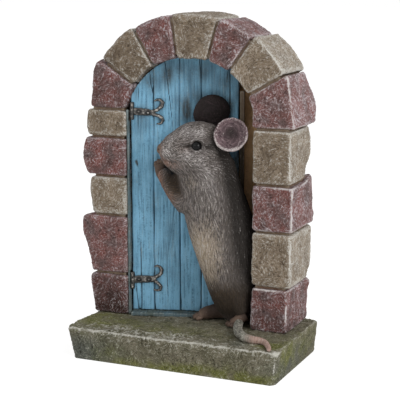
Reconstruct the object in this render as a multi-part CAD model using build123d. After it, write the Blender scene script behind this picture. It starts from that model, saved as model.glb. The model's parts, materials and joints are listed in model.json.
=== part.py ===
from build123d import *
import math
import os

# A mouse standing at a plank door in a little stone archway: a cast and painted
# ornament. Millimetres, Z up, the origin in the middle of the slab's underside.
# X runs along the wall, and the viewer stands on the -Y side.

# Driving dimensions
slab_width = 127.5
slab_depth = 72.0
slab_height = 19.0
wall_depth = 36.5
opening_width = 78.4
opening_offset = -4.0
spring_height = 132.0
ring_width = 22.3
pier_width = 22.5
mortar_gap = 1.6
door_thickness = 4.5
door_angle = 17.0
mouse_girth = 27.0

# Fits that several pieces share
clearance = 0.3
overrun = 5.0

# The arch is struck a little wider than the opening, which leaves a small step at its foot.
arch_spread_share = 1.051
arch_radius = opening_width / 2 * arch_spread_share

wall_back = slab_depth / 2
wall_front = wall_back - wall_depth
left_face = opening_offset - opening_width / 2
right_face = opening_offset + opening_width / 2
arch_start = spring_height + math.sqrt(arch_radius ** 2 - (opening_width / 2) ** 2)


def part_of(shape):
    """The largest solid of a cut shape, without the crumbs a cut can leave."""
    return max(shape.solids(), key=lambda solid: solid.volume)


def prism(outline, front, back):
    """A closed outline in the XZ plane, given as lines, carried from front to back along Y."""
    plane = Plane.XZ.offset(-back)
    return part_of(extrude(plane * make_face(outline), amount=back - front))


def box_between(low, high):
    """A box from its lowest corner to its highest."""
    size = [far - near for near, far in zip(low, high)]
    corner = (Align.MIN, Align.MIN, Align.MIN)
    return Pos(*low) * Box(*size, align=corner)


# Slab: one mossy paving stone, a little wider at the top than where it stands.
slab_batter = 2.0
slab_corner = 4.0
slab_edge = 1.0


def slab_outline(shrink, height):
    """The slab's outline at a height, drawn in all round, with its back kept in line."""
    width = slab_width - 2 * shrink
    depth = slab_depth - shrink
    return Pos(0, shrink / 2, height) * RectangleRounded(width, depth, slab_corner)


def make_slab():
    rings = [slab_outline(slab_batter, 0), slab_outline(0, slab_height - slab_edge),
             slab_outline(slab_edge, slab_height)]
    return part_of(loft(rings, ruled=True))


# Piers: squared stones, laid one on the other from the slab to the springing of the arch.
stone_chamfer = 1.5
# The beds lie at these shares of the height at which the arch's curve starts.
left_bed_shares = [0.299, 0.541, 0.701, 0.86, 0.973]
right_bed_shares = [0.307, 0.526, 0.7105, 0.924]
left_bed_heights = [arch_start * share for share in left_bed_shares]
right_bed_heights = [arch_start * share for share in right_bed_shares]
left_width_shares = [1.0, 1.16, 1.0, 1.15, 1.08]
right_width_shares = [0.95, 1.03, 1.06, 1.0]
left_springer_share = 1.02
right_springer_share = 1.1


def pier_stones(face, side, bed_heights, width_shares):
    """Stones from the slab up, with half a mortar bed taken off wherever two of them meet."""
    stones = []
    foot = slab_height
    for height, share in zip(bed_heights, width_shares):
        near = (face, wall_front, foot)
        far = (face + side * pier_width * share, wall_back, height - mortar_gap / 2)
        low = [min(pair) for pair in zip(near, far)]
        high = [max(pair) for pair in zip(near, far)]
        stones.append(dressed(box_between(low, high)))
        foot = height + mortar_gap / 2
    return stones


def dressed(block, inner_corner=None):
    """A block with its edges knocked off, as a mason leaves it, but not at an inner corner."""
    edges = block.edges()
    if inner_corner:
        x, z = inner_corner
        edges = [edge for edge in edges if abs(edge.center().X - x) + abs(edge.center().Z - z) > clearance]
    return part_of(chamfer(edges, stone_chamfer))


# Mortar lies back from the stones' faces by this much.
mortar_recess = 2.2


def pier_mortar(face, side, bed_heights, width_shares, springer_share):
    """The beds between a pier's stones and under the stone that springs the arch."""
    beds = []
    shares = width_shares + [springer_share]
    for index, height in enumerate(bed_heights):
        reach = pier_width * min(shares[index], shares[index + 1])
        near = face + side * mortar_recess
        far = face + side * (reach - mortar_recess)
        low = (min(near, far), wall_front + mortar_recess, height - mortar_gap / 2)
        high = (max(near, far), wall_back - mortar_recess, height + mortar_gap / 2)
        beds.append(box_between(low, high))
    return beds


# Arch: wedge stones about one centre, with their joints at these angles from the right.
joint_angles = [145.7, 121.6, 99.6, 73.5, 53.4, 29.1]
crown_width_shares = [1.1, 1.03, 1.02, 1.03, 1.11]
shoulder_width_share = 1.18


def on_joint(angle, radius, shift):
    """A point at a radius from the arch's centre, beside a joint's line by a shift."""
    turn = math.radians(angle)
    along = math.sqrt(radius ** 2 - shift ** 2)
    x = opening_offset + along * math.cos(turn) - shift * math.sin(turn)
    z = spring_height + along * math.sin(turn) + shift * math.cos(turn)
    return (x, z)


def wedge_stone(left_angle, right_angle, width_share):
    """A stone between two joints of the arch."""
    outer = arch_radius + ring_width * width_share
    middle = (left_angle + right_angle) / 2
    half = mortar_gap / 2
    foot_left = on_joint(left_angle, arch_radius, -half)
    foot_right = on_joint(right_angle, arch_radius, half)
    head_left = on_joint(left_angle, outer, -half)
    head_right = on_joint(right_angle, outer, half)
    outline = ThreePointArc(foot_left, on_joint(middle, arch_radius, 0), foot_right)
    outline += Line(foot_right, head_right)
    outline += ThreePointArc(head_right, on_joint(middle, outer, 0), head_left)
    outline += Line(head_left, foot_left)
    return dressed(prism(outline, wall_front, wall_back))


def springer(face, side, joint_angle, bed_height, width_share):
    """The stone that stands on a pier and starts the arch."""
    half = mortar_gap / 2
    foot = bed_height + half
    outer_x = face + side * pier_width * width_share
    start_angle = math.degrees(math.atan2(arch_start - spring_height, face - opening_offset))
    shoulder = arch_radius + ring_width * shoulder_width_share
    inner_top = on_joint(joint_angle, arch_radius, -side * half)
    outer_top = on_joint(joint_angle, shoulder, -side * half)
    middle = on_joint((joint_angle + start_angle) / 2, arch_radius, 0)
    outline = Polyline((face, arch_start), (face, foot), (outer_x, foot), outer_top, inner_top)
    outline += ThreePointArc(inner_top, middle, (face, arch_start))
    return dressed(prism(outline, wall_front, wall_back), (face, arch_start))


def arch_mortar():
    """One thin plate of mortar in each joint of the arch."""
    plates = []
    half = mortar_gap / 2
    inner = arch_radius + mortar_recess
    outer = arch_radius + ring_width * min(crown_width_shares) - mortar_recess
    for angle in joint_angles:
        corners = [on_joint(angle, radius, shift)
                   for radius, shift in ((inner, -half), (outer, -half), (outer, half), (inner, half))]
        outline = Polyline(*corners, close=True)
        plates.append(prism(outline, wall_front + mortar_recess, wall_back - mortar_recess))
    return plates


def opening_prism(gap, floor, front, back):
    """The archway's inside from its floor to its crown, a gap smaller than the stones leave."""
    half = opening_width / 2 - gap
    radius = arch_radius - gap
    spring = spring_height + math.sqrt(radius ** 2 - half ** 2)
    left = opening_offset - half
    right = opening_offset + half
    outline = Polyline((left, spring), (left, floor), (right, floor), (right, spring))
    outline += ThreePointArc((right, spring), (opening_offset, spring_height + radius), (left, spring))
    return prism(outline, front, back)


# Back panel: closes the archway behind the door.
panel_thickness = 5.0


def make_back_panel():
    return opening_prism(0, slab_height, wall_back - panel_thickness, wall_back)


# Door: upright planks side by side, hung at its left edge and standing ajar.
# Places on it are measured along the planks' face from the hinge edge, out from
# that face towards the viewer, and up from the ground.
door_width_share = 0.8
door_width = opening_width * door_width_share
hinge_inset = 1.4
hinge_setback = 4.5
door_lift = 2.6
plank_width_shares = [0.213, 0.243, 0.199, 0.261, 0.084]
plank_bevel = 0.7
hinge_edge = Vector(left_face + hinge_inset, wall_front + hinge_setback, 0)
along_door = Vector(math.cos(math.radians(door_angle)), math.sin(math.radians(door_angle)), 0)
out_of_door = Vector(along_door.Y, -along_door.X, 0)
door_foot = slab_height + door_lift


def at_door(along, out, height):
    """A point of the door's own frame."""
    return hinge_edge + along_door * along + out_of_door * out + Vector(0, 0, height)


def upright(outline, foot, head):
    """A prism that stands on an outline of the door's frame, from one height to another."""
    corners = [at_door(along, out, foot) for along, out in outline]
    face = make_face(Polyline(*corners, close=True))
    return part_of(extrude(face, amount=head - foot, dir=(0, 0, 1)))


def make_planks():
    room = opening_prism(clearance, slab_height, wall_front - overrun, wall_back - panel_thickness)
    head = spring_height + arch_radius + overrun
    planks = []
    edge = 0
    for share in plank_width_shares:
        far = edge + door_width * share
        outline = [(edge, -door_thickness), (far, -door_thickness), (far, -plank_bevel),
                   (far - plank_bevel, 0), (edge + plank_bevel, 0), (edge, -plank_bevel)]
        planks.append(part_of(upright(outline, door_foot, head) & room))
        edge = far
    return planks


# Threshold: a low board under the door, which stands out in front of it.
threshold_nose = 6.0
threshold_height = 2.2


def make_threshold():
    room = opening_prism(clearance, slab_height, wall_front - overrun, wall_back - panel_thickness)
    outline = [(0, -door_thickness), (door_width, -door_thickness), (door_width, threshold_nose),
               (0, threshold_nose)]
    return part_of(upright(outline, slab_height, slab_height + threshold_height) & room)


# Hinges: a knuckle at the door's edge, a strap that ends in two curls, and two rivets.
hinge_height_shares = [0.2765, 0.966]
hinge_heights = [arch_start * share for share in hinge_height_shares]
knuckle_radius = 1.6
knuckle_length = 11.0
knuckle_out = 1.75
strap_start = 2.6
strap_length = 12.6
strap_height = 4.8
strap_thickness = 1.0
curl_radius = 3.3
curl_width = 1.5
curl_sweep = 222.0
curl_first_angle = -100.0
curl_set_in = 0.5
rivet_radius = 1.1
rivet_height = 0.7
rivet_place_shares = [0.2, 0.62]
door_face = Plane(at_door(0, 0, 0), x_dir=along_door, z_dir=out_of_door)


def make_knuckle(height):
    foot = at_door(knuckle_radius / 2, knuckle_out, height - knuckle_length / 2)
    return Pos(foot) * Cylinder(knuckle_radius, knuckle_length, align=(Align.CENTER, Align.CENTER, Align.MIN))


def curl(centre, flip):
    """One half of the strap's end, which turns back on itself, upwards or downwards."""
    return SlotArc(CenterArc(centre, curl_radius, flip * curl_first_angle, flip * curl_sweep), curl_width)


def make_strap(height):
    middle = strap_start + strap_length / 2
    end = strap_start + strap_length + curl_set_in
    outline = Pos(middle, height) * Rectangle(strap_length, strap_height)
    for flip in (1, -1):
        outline += curl((end, height + flip * curl_radius), flip)
    return part_of(extrude(door_face * outline, amount=strap_thickness))


def make_rivets(height):
    """Two low round heads, each a slice of a ball."""
    ball_radius = (rivet_radius ** 2 + rivet_height ** 2) / (2 * rivet_height)
    rivets = []
    for share in rivet_place_shares:
        along = strap_start + strap_length * share
        seat = Plane(at_door(along, strap_thickness, height), x_dir=along_door, z_dir=out_of_door)
        ball = Pos(0, 0, rivet_height - ball_radius) * Sphere(ball_radius)
        half_space = Box(2 * ball_radius, 2 * ball_radius, 2 * ball_radius,
                         align=(Align.CENTER, Align.CENTER, Align.MIN))
        rivets.append(part_of(seat * (ball & half_space)))
    return rivets


# Jamb: a strip of frame between the left pier and the door's edge, cut round the knuckles.
jamb_width = 1.5
jamb_setback = 1.5
jamb_depth = 2.5


def make_jamb():
    low = (left_face, wall_front + jamb_setback, slab_height)
    high = (left_face + jamb_width, wall_front + jamb_setback + jamb_depth, left_bed_heights[-1])
    strip = box_between(low, high)
    for height in hinge_heights:
        centre = at_door(knuckle_radius / 2, knuckle_out, height)
        strip -= Pos(centre) * Cylinder(knuckle_radius + clearance, knuckle_length + 2 * clearance)
    return part_of(strip - make_threshold())


# Mouse: stands along the door's face with its back to the right pier.
# Its places are in the door's frame. Heights are shares of its height above the
# slab, lengths are shares of its length, and widths are shares of its girth.
mouse_height_share = 1.035
mouse_middle_share = 0.853
mouse_length_share = 0.654
mouse_height = (spring_height - slab_height) * mouse_height_share
mouse_middle = door_width * mouse_middle_share
mouse_length = door_width * mouse_length_share
mouse_out = mouse_girth / 2 + clearance


def at_mouse(height_share, length_share, out_share):
    """A point of the mouse: its height, its place from the middle, and out from its centre."""
    along = mouse_middle + mouse_length * length_share
    out = mouse_out + mouse_girth * out_share
    return at_door(along, out, slab_height + mouse_height * height_share)


# Each row: height, middle along the door, half length, half width.
body_shares = [(0.012, 0.31, 0.12, 0.14), (0.05, 0.245, 0.215, 0.25), (0.10, 0.195, 0.293, 0.35),
               (0.165, 0.182, 0.35, 0.43), (0.241, 0.146, 0.39, 0.475), (0.325, 0.102, 0.432, 0.49),
               (0.415, 0.056, 0.475, 0.5), (0.49, 0.0, 0.49, 0.495), (0.555, -0.05, 0.485, 0.47),
               (0.624, -0.085, 0.45, 0.44), (0.726, -0.134, 0.40, 0.40), (0.80, -0.14, 0.33, 0.34),
               (0.86, -0.13, 0.2, 0.2)]


def make_body():
    rings = []
    for height, middle, half_length, half_width in body_shares:
        plane = Plane(at_mouse(height, middle, 0), x_dir=along_door, z_dir=(0, 0, 1))
        rings.append(plane * Ellipse(mouse_length * half_length, mouse_girth * half_width))
    return part_of(loft(rings))


# Head: along a line from the nose back to the nape, turned a little to the viewer.
head_length = 38.0
head_height = 32.4
head_width = 29.6
head_yaw = 14.0
nose_place_shares = (0.871, -0.834, 0.30)
# Each row: distance from the nose, middle's height, half height, half width.
head_shares = [(0.0, 0.0, 0.07, 0.07), (0.05, 0.0, 0.15, 0.14), (0.115, -0.012, 0.26, 0.23),
               (0.215, -0.02, 0.365, 0.325), (0.325, -0.035, 0.455, 0.41), (0.5, -0.025, 0.5, 0.48),
               (0.66, -0.025, 0.5, 0.5), (0.82, -0.03, 0.44, 0.455), (0.93, -0.03, 0.31, 0.33),
               (1.0, -0.03, 0.14, 0.15)]
nose_tip = at_mouse(*nose_place_shares)
back_of_head = along_door.rotate(Axis.Z, head_yaw)
side_of_head = out_of_door.rotate(Axis.Z, head_yaw)


def at_head(back_share, side_share, up_share):
    """A point of the head: back from the nose, out to the viewer's side, and up."""
    along = back_of_head * (head_length * back_share)
    across = side_of_head * (head_width * side_share)
    return nose_tip + along + across + Vector(0, 0, head_height * up_share)


def make_head():
    rings = []
    for back, middle, half_height, half_width in head_shares:
        plane = Plane(at_head(back, 0, middle), x_dir=side_of_head, z_dir=back_of_head)
        rings.append(plane * Ellipse(head_width * half_width, head_height * half_height))
    return part_of(loft(rings))


eye_radius = 2.8
eye_place_shares = (0.56, 0.43, 0.1)
nose_radius = 2.7


def make_eye(side):
    back, out, rise = eye_place_shares
    return Plane(at_head(back, side * out, rise), z_dir=side_of_head * side) * Sphere(eye_radius)


def make_nose():
    return Pos(nose_tip + back_of_head * (nose_radius / 2)) * Sphere(nose_radius)


# Ears: round dishes with a rolled rim, the near one towards the viewer.
ear_radius = 9.9
ear_thickness = 2.2
ear_rim = 1.5
ear_hollow = 1.3
ear_roll_share = 0.45
near_ear_place_shares = (0.952, 0.168, 0.3)
far_ear_place_shares = (1.022, -0.156, -0.33)
near_ear_facing = (-0.22, 0.95, 0.18)
far_ear_facing = (-0.3, -0.93, 0.2)


def make_ear(place_shares, facing):
    along, out, up = facing
    normal = along_door * along + out_of_door * out + Vector(0, 0, up)
    seat = Plane(at_mouse(*place_shares), z_dir=normal)
    disc = Cylinder(ear_radius, ear_thickness)
    disc = fillet(disc.edges(), ear_thickness * ear_roll_share)
    bowl = ear_radius - ear_rim
    ball_radius = (bowl ** 2 + ear_hollow ** 2) / (2 * ear_hollow)
    ball = Pos(0, 0, ear_thickness / 2 - ear_hollow + ball_radius) * Sphere(ball_radius)
    return part_of(seat * (disc - ball))


def limb(points, sizes):
    """A limb through a row of points, with its half widths across and in depth at each."""
    rings = []
    for index, point in enumerate(points):
        before = points[max(index - 1, 0)]
        after = points[min(index + 1, len(points) - 1)]
        along = after - before
        plane = Plane(point, x_dir=out_of_door.cross(along), z_dir=along)
        rings.append(plane * Ellipse(*sizes[index]))
    return part_of(loft(rings))


# Arms and paws: each row is height, place from the middle, out, half width, half depth.
arm_girth = 7.5
near_arm_shares = [(0.635, -0.26, 0.06, 1.0, 0.95), (0.59, -0.44, 0.01, 0.76, 0.72),
                   (0.59, -0.585, -0.085, 0.56, 0.55), (0.632, -0.72, -0.196, 0.43, 0.42),
                   (0.675, -0.81, -0.27, 0.39, 0.36)]
near_paw_shares = [(0.662, -0.785, -0.25, 0.3, 0.26), (0.727, -0.883, -0.352, 0.46, 0.32),
                   (0.761, -0.9, -0.389, 0.35, 0.22), (0.789, -0.907, -0.426, 0.16, 0.12)]
far_arm_shares = [(0.65, -0.378, -0.2, 0.73, 0.66), (0.628, -0.537, -0.307, 0.53, 0.46),
                  (0.658, -0.646, -0.34, 0.43, 0.38), (0.7, -0.707, -0.363, 0.35, 0.32)]
far_paw_shares = [(0.7, -0.707, -0.363, 0.35, 0.32), (0.744, -0.744, -0.4, 0.4, 0.25),
                  (0.778, -0.759, -0.426, 0.3, 0.17), (0.8, -0.763, -0.44, 0.14, 0.1)]


def make_limb(shares):
    points = [at_mouse(*row[:3]) for row in shares]
    sizes = [(arm_girth * wide, arm_girth * deep) for *place, wide, deep in shares]
    return limb(points, sizes)


def above_slab():
    """All the room above the slab, which leaves a flat sole on what lies on it."""
    size = slab_width + slab_depth
    return Pos(0, 0, slab_height) * Box(size, size, size, align=(Align.CENTER, Align.CENTER, Align.MIN))


# Hind feet: each row is place from the toe, half width and half height. The sole
# share is how high a foot's middle lies, as a share of its half height.
foot_length = 17.0
foot_width = 8.4
foot_height = 8.6
sole_share = 0.8
foot_shares = [(0.0, 0.32, 0.17), (0.22, 0.48, 0.3), (0.5, 0.5, 0.42), (0.78, 0.47, 0.5), (1.0, 0.4, 0.52)]
near_toe_shares = (0.098, 0.135)
far_toe_shares = (-0.407, -0.2)
near_foot_turn = 30.0
far_foot_turn = 0.0


def make_foot(toe_shares, turn):
    """A long foot, flat under its sole, from the toes back under the body."""
    toe = at_mouse(0, *toe_shares)
    heelward = along_door.rotate(Axis.Z, turn)
    rings = []
    for back, half_width, half_height in foot_shares:
        rise = foot_height * half_height
        centre = toe + heelward * (foot_length * back) + Vector(0, 0, rise * sole_share)
        plane = Plane(centre, x_dir=out_of_door.rotate(Axis.Z, turn), z_dir=heelward)
        rings.append(plane * Ellipse(foot_width * half_width, rise))
    return part_of(loft(rings)) & above_slab()


# Tail: out from under the rump and over the slab to its front corner. Each row is
# a place, the height in tail widths, and the width. The root's places are the
# mouse's own, and the rest are across half the slab and over the slab before the wall.
tail_width = 4.6
tail_root_shares = [(0.395, 0.015, 1.3, 1.0), (0.312, 0.227, 0.85, 1.0), (0.245, 0.461, 0.45, 0.97)]
tail_shares = [(0.458, 0.26, 0.4, 0.93), (0.53, 0.427, 0.37, 0.88), (0.623, 0.534, 0.33, 0.8),
               (0.723, 0.579, 0.29, 0.7), (0.808, 0.665, 0.25, 0.6), (0.878, 0.807, 0.21, 0.52),
               (0.92, 0.929, 0.18, 0.44)]


def make_tail():
    room = slab_depth / 2 + wall_front
    places = [at_mouse(0, along, out) for along, out, *rest in tail_root_shares]
    places += [Vector(slab_width / 2 * across, wall_front - room * forward, slab_height)
               for across, forward, *rest in tail_shares]
    points = []
    sizes = []
    for place, row in zip(places, tail_root_shares + tail_shares):
        height, width = row[2:]
        points.append(place + Vector(0, 0, tail_width * height))
        sizes.append((tail_width / 2 * width, tail_width / 2 * width))
    return limb(points, sizes) & above_slab()


def clear_of(shape, *neighbours):
    """A shape with its neighbours cut out, so that the two meet face to face."""
    for neighbour in neighbours:
        shape = shape - neighbour
    return part_of(shape)


def name_stones(nodes, prefix, stones):
    for index, stone in enumerate(stones, start=1):
        nodes[f"{prefix}_{index}"] = stone


def build_archway(nodes):
    nodes["base_slab"] = make_slab()
    left = pier_stones(left_face, -1, left_bed_heights, left_width_shares)
    right = pier_stones(right_face, 1, right_bed_heights, right_width_shares)
    name_stones(nodes, "left_stone", left)
    name_stones(nodes, "right_stone", right)
    nodes["left_springer"] = springer(left_face, -1, joint_angles[0], left_bed_heights[-1],
                                      left_springer_share)
    nodes["right_springer"] = springer(right_face, 1, joint_angles[-1], right_bed_heights[-1],
                                       right_springer_share)
    crown = []
    for index, share in enumerate(crown_width_shares):
        crown.append(wedge_stone(joint_angles[index], joint_angles[index + 1], share))
    nodes["keystone"] = crown.pop(len(crown) // 2)
    name_stones(nodes, "arch_stone", crown)
    nodes["left_mortar"] = Compound(pier_mortar(left_face, -1, left_bed_heights, left_width_shares,
                                                left_springer_share))
    nodes["right_mortar"] = Compound(pier_mortar(right_face, 1, right_bed_heights, right_width_shares,
                                                 right_springer_share))
    nodes["arch_mortar"] = Compound(arch_mortar())
    nodes["back_panel"] = make_back_panel()


def build_door(nodes):
    for index, plank in enumerate(make_planks(), start=1):
        nodes[f"door_plank_{index}"] = plank
    nodes["threshold"] = make_threshold()
    nodes["left_jamb"] = make_jamb()
    for place, height in zip(("lower", "upper"), hinge_heights):
        knuckle = make_knuckle(height)
        nodes[f"{place}_hinge_knuckle"] = knuckle
        nodes[f"{place}_hinge_strap"] = clear_of(make_strap(height), knuckle)
        nodes[f"{place}_hinge_rivets"] = Compound(make_rivets(height))


def build_mouse(nodes):
    """The mouse's pieces, each cut by those that it was made up on."""
    threshold = nodes["threshold"]
    eyes = [make_eye(side) for side in (1, -1)]
    head = clear_of(make_head(), *eyes)
    body = clear_of(make_body(), head, threshold)
    near_arm = clear_of(make_limb(near_arm_shares), head, body)
    near_paw = clear_of(make_limb(near_paw_shares), near_arm)
    far_arm = clear_of(make_limb(far_arm_shares), head, body, near_arm, near_paw)
    far_paw = clear_of(make_limb(far_paw_shares), far_arm, near_arm, near_paw)
    feet = [clear_of(make_foot(near_toe_shares, near_foot_turn), body, threshold),
            clear_of(make_foot(far_toe_shares, far_foot_turn), body, threshold)]
    nodes["mouse_body"] = body
    nodes["mouse_head"] = head
    nodes["mouse_nose"] = clear_of(make_nose(), head)
    nodes["left_eye"], nodes["right_eye"] = eyes
    nodes["left_ear"] = clear_of(make_ear(near_ear_place_shares, near_ear_facing), head, body)
    nodes["right_ear"] = clear_of(make_ear(far_ear_place_shares, far_ear_facing), head, body)
    nodes["left_arm"], nodes["right_arm"] = near_arm, far_arm
    nodes["left_paw"], nodes["right_paw"] = near_paw, far_paw
    nodes["left_foot"], nodes["right_foot"] = feet
    nodes["tail"] = clear_of(make_tail(), body, *feet)


nodes = {}
build_archway(nodes)
build_door(nodes)
build_mouse(nodes)

os.makedirs("parts", exist_ok=True)
for name, shape in nodes.items():
    export_step(shape, f"parts/{name}.step")
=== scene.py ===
import json
import math

import bmesh
import bpy
import numpy as np
from mathutils import Matrix, Vector, noise


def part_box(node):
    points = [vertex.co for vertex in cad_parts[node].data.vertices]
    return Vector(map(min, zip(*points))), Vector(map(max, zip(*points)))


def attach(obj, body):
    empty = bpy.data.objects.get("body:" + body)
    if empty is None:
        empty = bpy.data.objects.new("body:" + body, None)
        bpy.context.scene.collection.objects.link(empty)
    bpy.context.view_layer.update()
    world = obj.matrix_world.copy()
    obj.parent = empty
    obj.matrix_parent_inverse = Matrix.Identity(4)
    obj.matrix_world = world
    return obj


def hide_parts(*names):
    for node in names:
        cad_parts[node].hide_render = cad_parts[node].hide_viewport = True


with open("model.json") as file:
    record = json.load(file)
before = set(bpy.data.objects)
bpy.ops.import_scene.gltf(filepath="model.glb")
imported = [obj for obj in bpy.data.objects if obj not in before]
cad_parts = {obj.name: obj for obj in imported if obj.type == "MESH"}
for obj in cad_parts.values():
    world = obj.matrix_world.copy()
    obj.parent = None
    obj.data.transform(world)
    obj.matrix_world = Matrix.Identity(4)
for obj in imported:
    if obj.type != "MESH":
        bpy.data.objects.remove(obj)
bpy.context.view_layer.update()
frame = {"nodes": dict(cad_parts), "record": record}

mm = 0.001

# Camera: stands far off to the right of the front and a little above, and looks at the
# doorway as the photograph does. A long lens keeps the piers nearly upright.
def placed(name, data):
    """A new object in the scene."""
    thing = bpy.data.objects.new(name, data)
    bpy.context.scene.collection.objects.link(thing)
    return thing


camera_place = (277.78 * mm, -624.36 * mm, 221.72 * mm)
camera_dip, camera_swing = 10.8, 23.7  # degrees down from level, and round from the front
camera = bpy.data.cameras.new("camera")
camera.lens = 110.33
camera_object = placed("camera", camera)
camera_object.location = camera_place
camera_object.rotation_euler = (math.radians(90 - camera_dip), 0, math.radians(camera_swing))
bpy.context.scene.camera = camera_object
bpy.context.scene.view_settings.view_transform = "Standard"


# Studio: a pale floor under soft light from all round, with one large lamp high on the
# right and a weaker one low on the left. What the camera sees beyond the floor is white.
def linear(code):
    """The linear colour of an sRGB hex code."""
    parts = [int(code[place:place + 2], 16) / 255 for place in (1, 3, 5)]
    return [part / 12.92 if part <= 0.04045 else ((part + 0.055) / 1.055) ** 2.4 for part in parts] + [1.0]


def add_node(tree, kind, inputs, **settings):
    """Adds a node with its settings. An input is a value, a hex code of a colour, or a socket
    or node to link from."""
    node = tree.nodes.new("ShaderNode" + kind)
    for name, value in settings.items():
        setattr(node, name, value)
    for key, value in inputs.items():
        socket = node.inputs[key]
        if isinstance(key, str):
            socket = next(one for one in node.inputs if one.name == key and one.enabled)
        if isinstance(value, bpy.types.Node):
            value = next(one for one in value.outputs if one.enabled)
        if isinstance(value, bpy.types.NodeSocket):
            tree.links.new(value, socket)
        else:
            socket.default_value = linear(value) if isinstance(value, str) else value
    return node


def emptied(owner):
    """The owner's node tree with nothing in it but a light path, and what camera and gloss see."""
    owner.use_nodes = True
    tree = owner.node_tree
    tree.nodes.clear()
    path = tree.nodes.new("ShaderNodeLightPath").outputs
    seen = add_node(tree, "Math", {0: path["Is Camera Ray"], 1: path["Is Glossy Ray"]}, operation="MAXIMUM")
    return tree, path, seen


def paper_white():
    """Matt white paper. The camera sees it near white, with the object's shadow still on it."""
    material = bpy.data.materials.new("paper white")
    tree, _, seen = emptied(material)
    matt = add_node(tree, "BsdfDiffuse", {"Color": "#f4f4f2"})
    half = add_node(tree, "BsdfDiffuse", {"Color": "#a8a8a8"})
    glow = add_node(tree, "Emission", {"Color": "#ffffff", "Strength": 0.8})
    lit = add_node(tree, "AddShader", {0: half, 1: glow})
    both = add_node(tree, "MixShader", {0: seen, 1: matt, 2: lit})
    add_node(tree, "OutputMaterial", {"Surface": both})
    return material


def white_surroundings(strength):
    """Even light from all round, which the camera, gloss and glass see as plain white."""
    world = bpy.data.worlds.new("white surroundings")
    tree, path, seen = emptied(world)
    seen = add_node(tree, "Math", {0: seen, 1: path["Is Transmission Ray"]}, operation="MAXIMUM")
    level = add_node(tree, "MapRange", {"Value": seen, "To Min": strength, "To Max": 1.0})
    light = add_node(tree, "Background", {"Color": "#ffffff", "Strength": level})
    add_node(tree, "OutputWorld", {"Surface": light})
    return world


def lamp(name, place, size, power):
    """A square soft box, sized in metres and watts, that looks at the middle of the doorway."""
    light = bpy.data.lights.new(name, "AREA")
    light.size = size
    light.energy = power
    holder = placed(name, light)
    holder.location = place
    doorway = Vector((0, 0, 0.1))
    holder.rotation_euler = (doorway - Vector(place)).to_track_quat("-Z", "Y").to_euler()


bpy.context.scene.world = white_surroundings(strength=0.6)
lamp("key lamp", (1.25, -0.55, 0.75), size=0.6, power=11.8)
lamp("fill lamp", (-0.55, -1.3, 0.75), size=0.8, power=3.5)
floor_reach = 6.0
floor_mesh = bpy.data.meshes.new("floor")
floor_bm = bmesh.new()
bmesh.ops.create_grid(floor_bm, x_segments=1, y_segments=1, size=floor_reach)
floor_bm.to_mesh(floor_mesh)
floor_bm.free()
floor_mesh.materials.append(paper_white())
floor = placed("floor", floor_mesh)


# Slab: one paving stone of cast resin, sculpted in clay first. Its edges are chipped,
# and its paint runs from grey brown on top to moss green low down, with white rubbed
# over the front edge.
def set_piece(name, mesh, material, slot, replaced):
    """Makes a finished mesh a piece of the object, in the place of some CAD nodes."""
    mesh.shade_smooth()
    mesh.materials.clear()
    mesh.materials.append(material)
    piece = placed(name, mesh)
    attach(piece, "root")
    if replaced:
        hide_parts(*replaced)


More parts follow.
